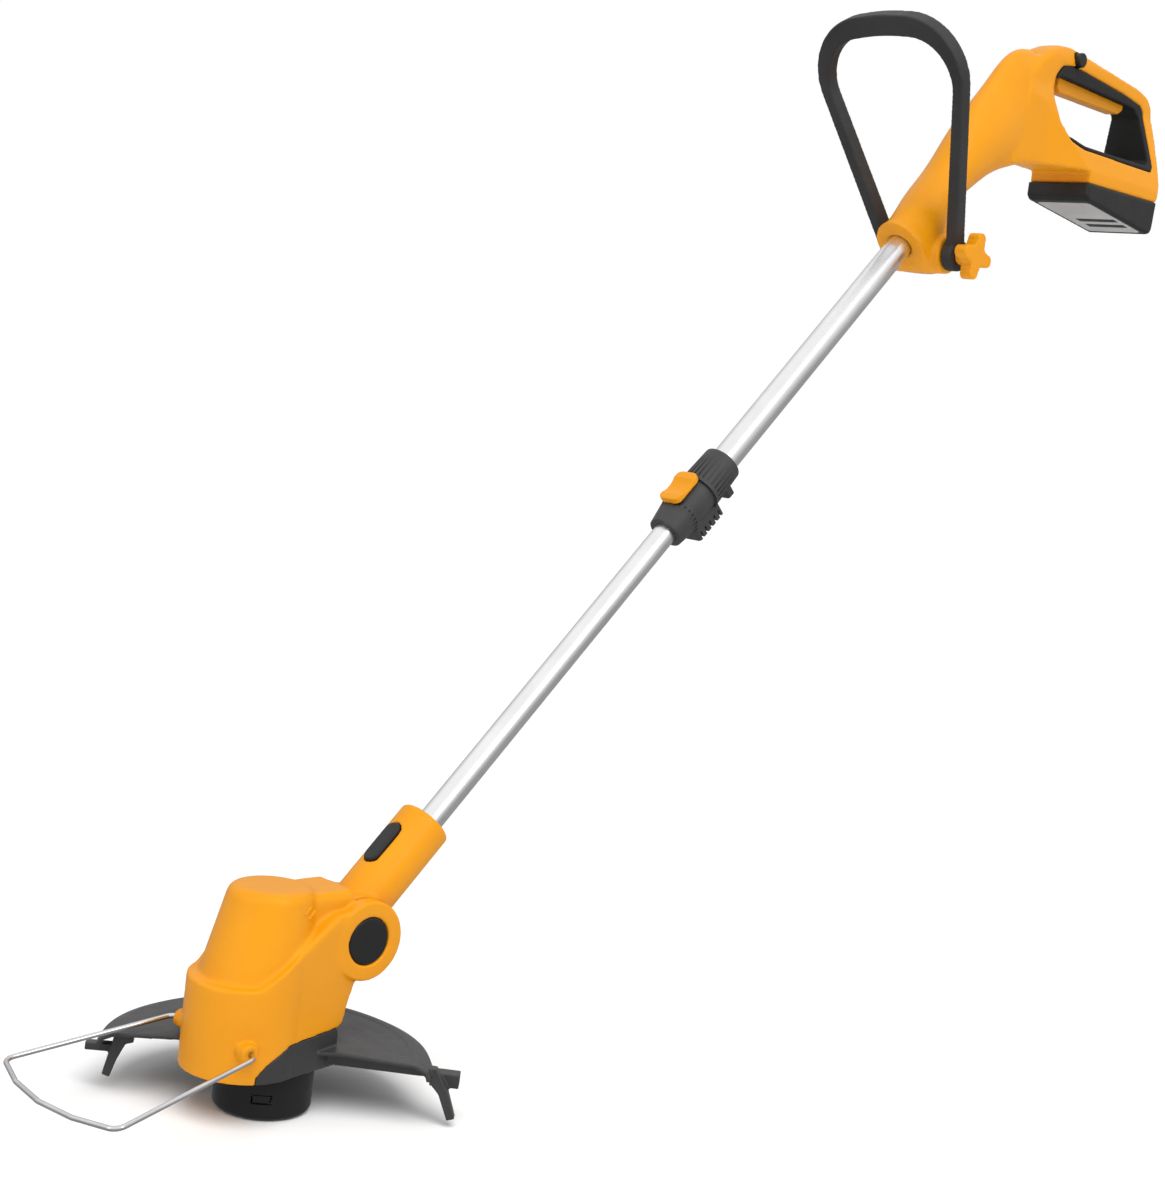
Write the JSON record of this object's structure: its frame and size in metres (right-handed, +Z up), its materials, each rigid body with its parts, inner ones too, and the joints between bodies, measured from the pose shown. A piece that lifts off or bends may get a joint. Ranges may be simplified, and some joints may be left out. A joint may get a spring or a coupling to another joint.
{
  "type": "string trimmer",
  "caption": "Cordless string trimmer: angled tube shaft, tilting motor head with guard and wire plant guard, loop and trigger handles, slide-in battery.",
  "frame": {"origin": "centre of the spool cap's flat bottom face, on the ground, on the spool axis", "axes": "+Z up, +X back along the shaft toward the operator, +Y toward the operator's right"},
  "size_m": [1.2645, 0.2386, 0.989],
  "materials": {
    "yellow_plastic": "satin moulded plastic",
    "black_plastic": "fine textured moulded plastic",
    "button_plastic": "smooth dark plastic",
    "grip_rubber": "soft textured grip",
    "label_grey": "plain grey panel",
    "aluminium": "satin drawn tube",
    "bright_steel": "bright steel",
    "screw_steel": "zinc plated steel",
    "motor_steel": "plain steel",
    "nylon": "natural nylon",
    "electronics": "circuit board and contacts",
    "lead_rubber": "coiled two core lead"
  },
  "bodies": {
    "rear_handle": {"handle_left": "yellow_plastic", "handle_right": "yellow_plastic", "handle_screws": "screw_steel", "grip_lining": "grip_rubber", "microswitch": "electronics", "control_board": "electronics", "battery_terminals": "electronics", "upper_tube": "aluminium", "power_lead_coil": "lead_rubber", "clamp_body": "black_plastic", "clamp_bracket": "black_plastic", "clamp_lower_collar": "black_plastic", "clamp_screws": "screw_steel", "clamp_upper_collar": "black_plastic", "trigger_spring": "bright_steel", "length_spring": "bright_steel"},
    "trigger": {"trigger": "yellow_plastic"},
    "lock_off": {"lock_off_button": "button_plastic"},
    "length_button": {"length_button": "yellow_plastic"},
    "loop": {"loop_handle": "black_plastic", "loop_bolt": "bright_steel"},
    "knob": {"star_knob": "yellow_plastic", "knob_nut": "bright_steel"},
    "battery": {"battery_case": "black_plastic", "battery_base": "label_grey", "battery_cells": "aluminium"},
    "latch": {"battery_latch": "button_plastic"},
    "lower_shaft": {"lower_tube": "aluminium", "lower_tube_collar": "nylon", "tube_guide_bush": "nylon"},
    "neck": {"neck_left": "yellow_plastic", "neck_right": "yellow_plastic", "neck_screws": "screw_steel", "twist_spring": "bright_steel"},
    "twist_button": {"twist_button": "button_plastic"},
    "head": {"motor_housing_left": "yellow_plastic", "motor_housing_right": "yellow_plastic", "housing_screws": "screw_steel", "motor_can": "motor_steel", "motor_screws": "screw_steel", "shaft_bearing": "bright_steel", "guard": "black_plastic", "guard_screws": "screw_steel", "line_cutter_blade": "screw_steel", "cutter_screws": "screw_steel", "pivot_cap": "black_plastic", "tilt_pin": "bright_steel", "tilt_spring": "bright_steel"},
    "tilt_button": {"tilt_button": "button_plastic"},
    "spool": {"motor_shaft": "bright_steel", "motor_rotor": "motor_steel", "cooling_fan": "nylon", "spool_housing": "black_plastic", "spool_cap": "black_plastic", "line_eyelet": "bright_steel", "line_spool": "nylon", "line_winding": "nylon", "spool_spring": "bright_steel"},
    "guard_wire": {"plant_guard_wire": "bright_steel"}
  },
  "joints": [
    {"name": "trigger_squeeze", "type": "hinge", "parent": "rear_handle", "child": "trigger", "pos_m": [1.004, 0, 0.957], "axis": [0, 1, 0], "range_deg": [0, 5], "stiffness_Nm_per_rad": 1.2, "springref_deg": -2.86, "deforming": ["trigger_spring"]},
    {"name": "lock_off_press", "type": "slide", "parent": "rear_handle", "child": "lock_off", "axis": [0, 1, 0], "range_m": [0, 0.004], "stiffness_N_per_m": 300, "springref_m": -0.001},
    {"name": "length_button_press", "type": "slide", "parent": "rear_handle", "child": "length_button", "axis": [0.7193, 0, -0.6947], "range_m": [0, 0.002], "stiffness_N_per_m": 500, "springref_m": -0.001, "deforming": ["length_spring"]},
    {"name": "loop_angle", "type": "hinge", "parent": "rear_handle", "child": "loop", "pos_m": [0.699, 0, 0.752], "axis": [0, 1, 0], "range_deg": [-20, 35]},
    {"name": "knob_turn", "type": "hinge", "parent": "loop", "child": "knob", "pos_m": [0.699, -0.055, 0.752], "axis": [0, 1, 0], "continuous": true},
    {"name": "battery_release", "type": "slide", "parent": "rear_handle", "child": "battery", "axis": [1, 0, 0], "range_m": [0, 0.06]},
    {"name": "latch_press", "type": "slide", "parent": "battery", "child": "latch", "axis": [-1, 0, 0], "range_m": [0, 0.0015], "stiffness_N_per_m": 400, "springref_m": -0.001},
    {"name": "shaft_length", "type": "slide", "parent": "rear_handle", "child": "lower_shaft", "axis": [0.6947, 0, 0.7193], "range_m": [-0.05, 0.2], "deforming": ["power_lead_coil"]},
    {"name": "head_twist", "type": "hinge", "parent": "lower_shaft", "child": "neck", "pos_m": [0.061, 0, 0.13375], "axis": [0.6947, 0, 0.7193], "range_deg": [0, 180]},
    {"name": "twist_button_press", "type": "slide", "parent": "neck", "child": "twist_button", "axis": [0.7193, 0, -0.6947], "range_m": [0, 0.0025], "stiffness_N_per_m": 500, "springref_m": -0.001, "deforming": ["twist_spring"]},
    {"name": "head_tilt", "type": "hinge", "parent": "neck", "child": "head", "pos_m": [0.061, 0, 0.13375], "axis": [0, 1, 0], "range_deg": [-30, 12]},
    {"name": "tilt_button_press", "type": "slide", "parent": "head", "child": "tilt_button", "axis": [0, 1, 0], "range_m": [0, 0.0015], "stiffness_N_per_m": 500, "springref_m": -0.001, "deforming": ["tilt_spring"]},
    {"name": "spool_spin", "type": "hinge", "parent": "head", "child": "spool", "pos_m": [0, 0, 0.02], "axis": [0, 0, 1], "continuous": true},
    {"name": "guard_wire_fold", "type": "hinge", "parent": "head", "child": "guard_wire", "pos_m": [-0.0505, 0, 0.0624], "axis": [0, 1, 0], "range_deg": [0, 100]}
  ]
}
